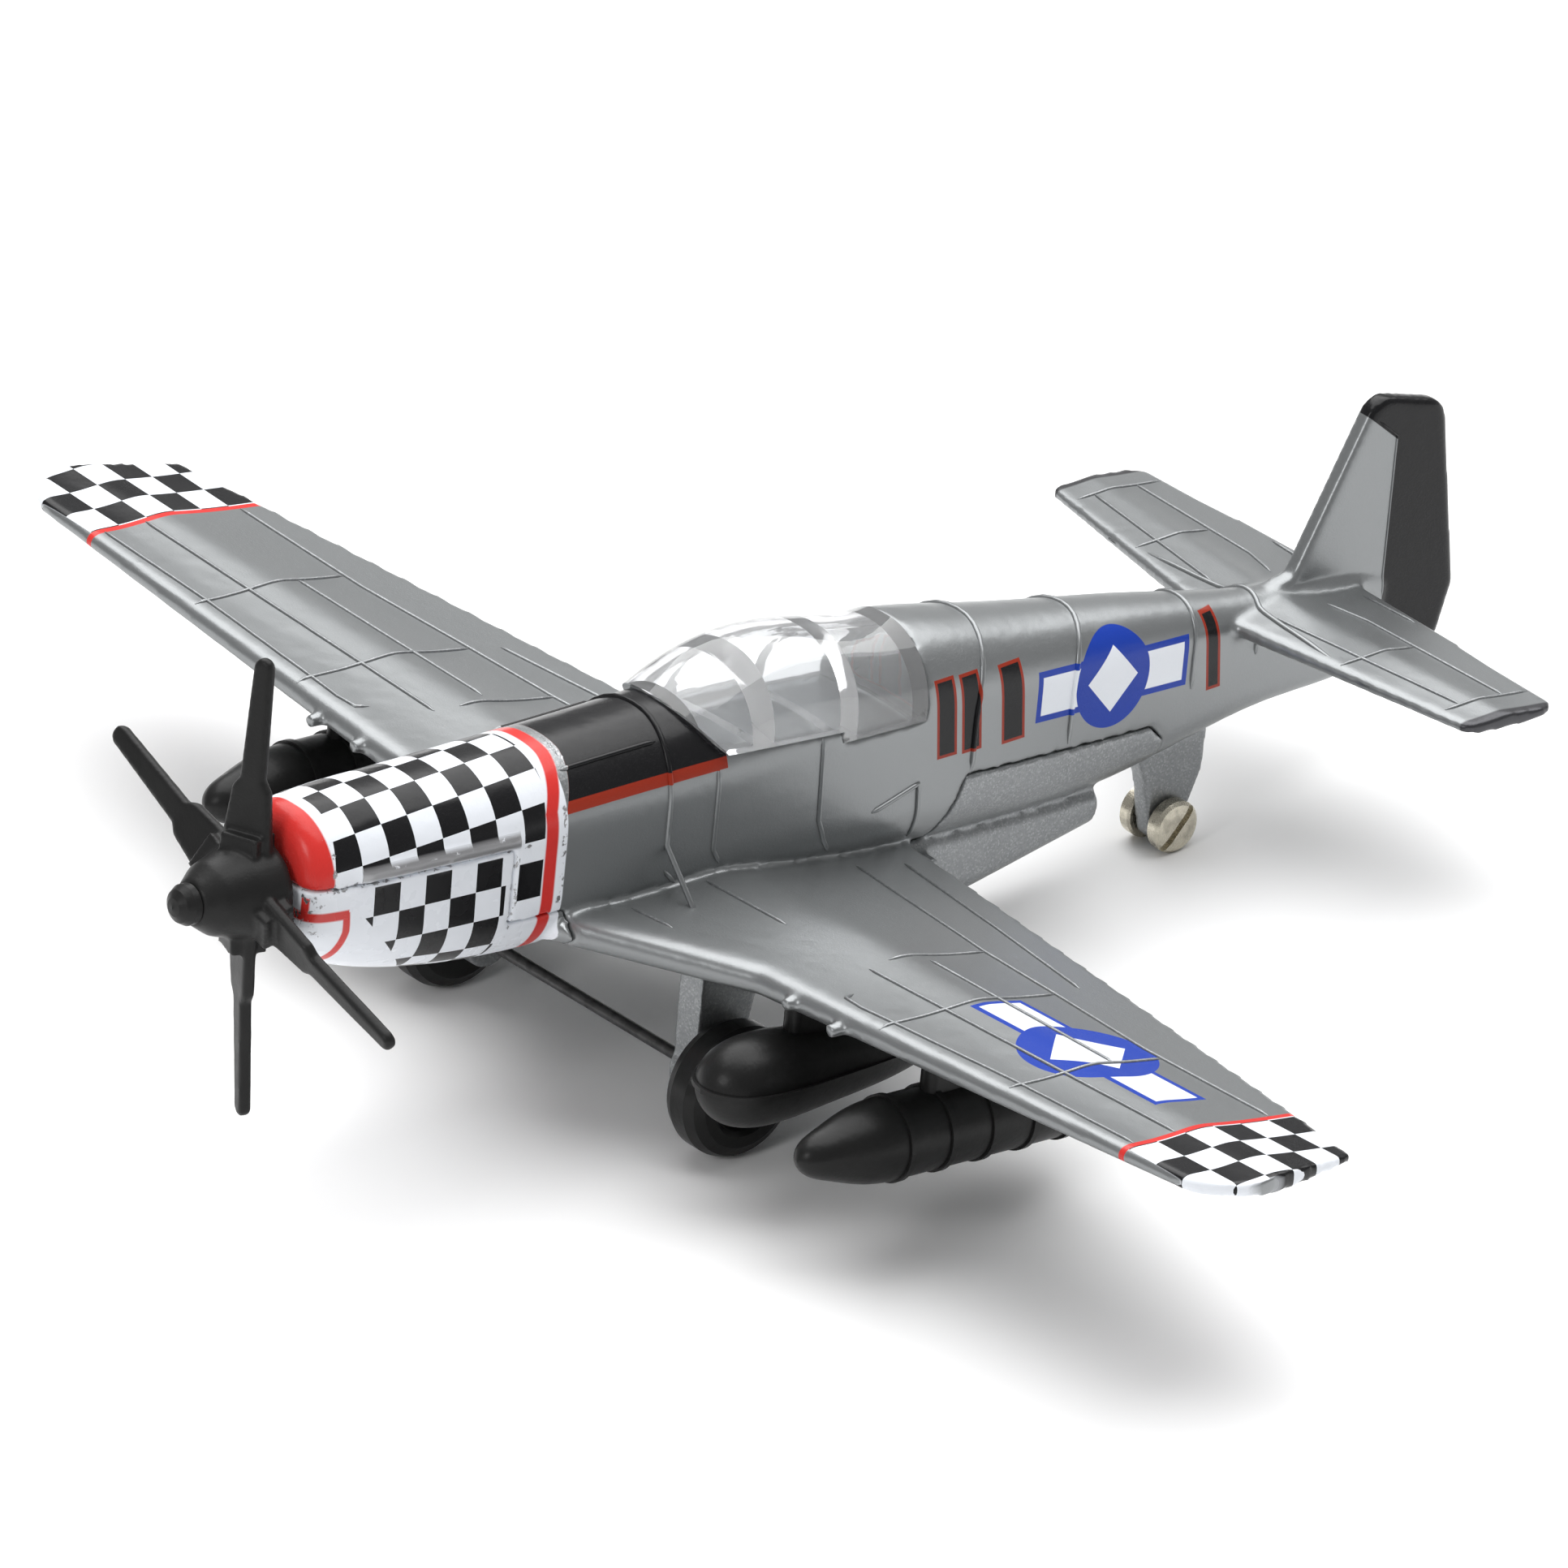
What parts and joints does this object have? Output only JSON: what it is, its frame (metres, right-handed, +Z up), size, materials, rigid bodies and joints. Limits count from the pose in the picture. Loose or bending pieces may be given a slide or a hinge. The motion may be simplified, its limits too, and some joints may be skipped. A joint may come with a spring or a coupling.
{
  "type": "toy aeroplane",
  "caption": "Small die-cast toy fighter aeroplane on its wheels, with a spinning propeller, rolling wheels, clear canopy and stores under the wing.",
  "frame": {"origin": "on the floor under the centre of the aeroplane's bounding box, standing on its main and tail wheels", "axes": "+X to the aeroplane's left along the wing span, +Y aft along its length, +Z up from the floor"},
  "size_m": [0.1122, 0.0964, 0.0345],
  "materials": {
    "silver_paint": "satin metallic silver with painted markings",
    "silver_leg": "satin metallic silver",
    "clear_plastic": "clear moulded plastic",
    "black_plastic": "satin black",
    "wheel_black": "satin black",
    "store_black": "satin black",
    "steel_wire": "dark drawn wire",
    "nickel": "nickel plated, lightly tarnished",
    "screw_steel": "plain steel"
  },
  "bodies": {
    "airframe": {"upper_casting": "silver_paint", "chin_cowl": "silver_paint", "belly_casting": "silver_paint", "canopy": "clear_plastic", "propeller_pin": "black_plastic", "gear_leg_left": "silver_leg", "gear_leg_right": "silver_leg", "drop_tank_upper_left": "store_black", "drop_tank_upper_right": "store_black", "drop_tank_lower_left": "store_black", "drop_tank_lower_right": "store_black", "ribbed_tank_left": "store_black", "ribbed_tank_right": "store_black", "belly_screws": "screw_steel"},
    "propeller": {"propeller": "black_plastic"},
    "main_wheels": {"main_axle": "steel_wire", "main_wheel_left": "wheel_black", "main_wheel_right": "wheel_black"},
    "tail_wheels": {"tail_pin": "steel_wire", "tail_wheel_left": "nickel", "tail_wheel_right": "nickel"}
  },
  "joints": [
    {"name": "propeller_spin", "type": "hinge", "parent": "airframe", "child": "propeller", "pos_m": [0, -0.04299, 0.02042], "axis": [0, 0.9933, -0.1153], "continuous": true},
    {"name": "main_wheels_roll", "type": "hinge", "parent": "airframe", "child": "main_wheels", "pos_m": [0, -0.0173, 0.0041], "axis": [1, 0, 0], "continuous": true},
    {"name": "tail_wheels_roll", "type": "hinge", "parent": "airframe", "child": "tail_wheels", "pos_m": [0, 0.02591, 0.00165], "axis": [1, 0, 0], "continuous": true}
  ]
}
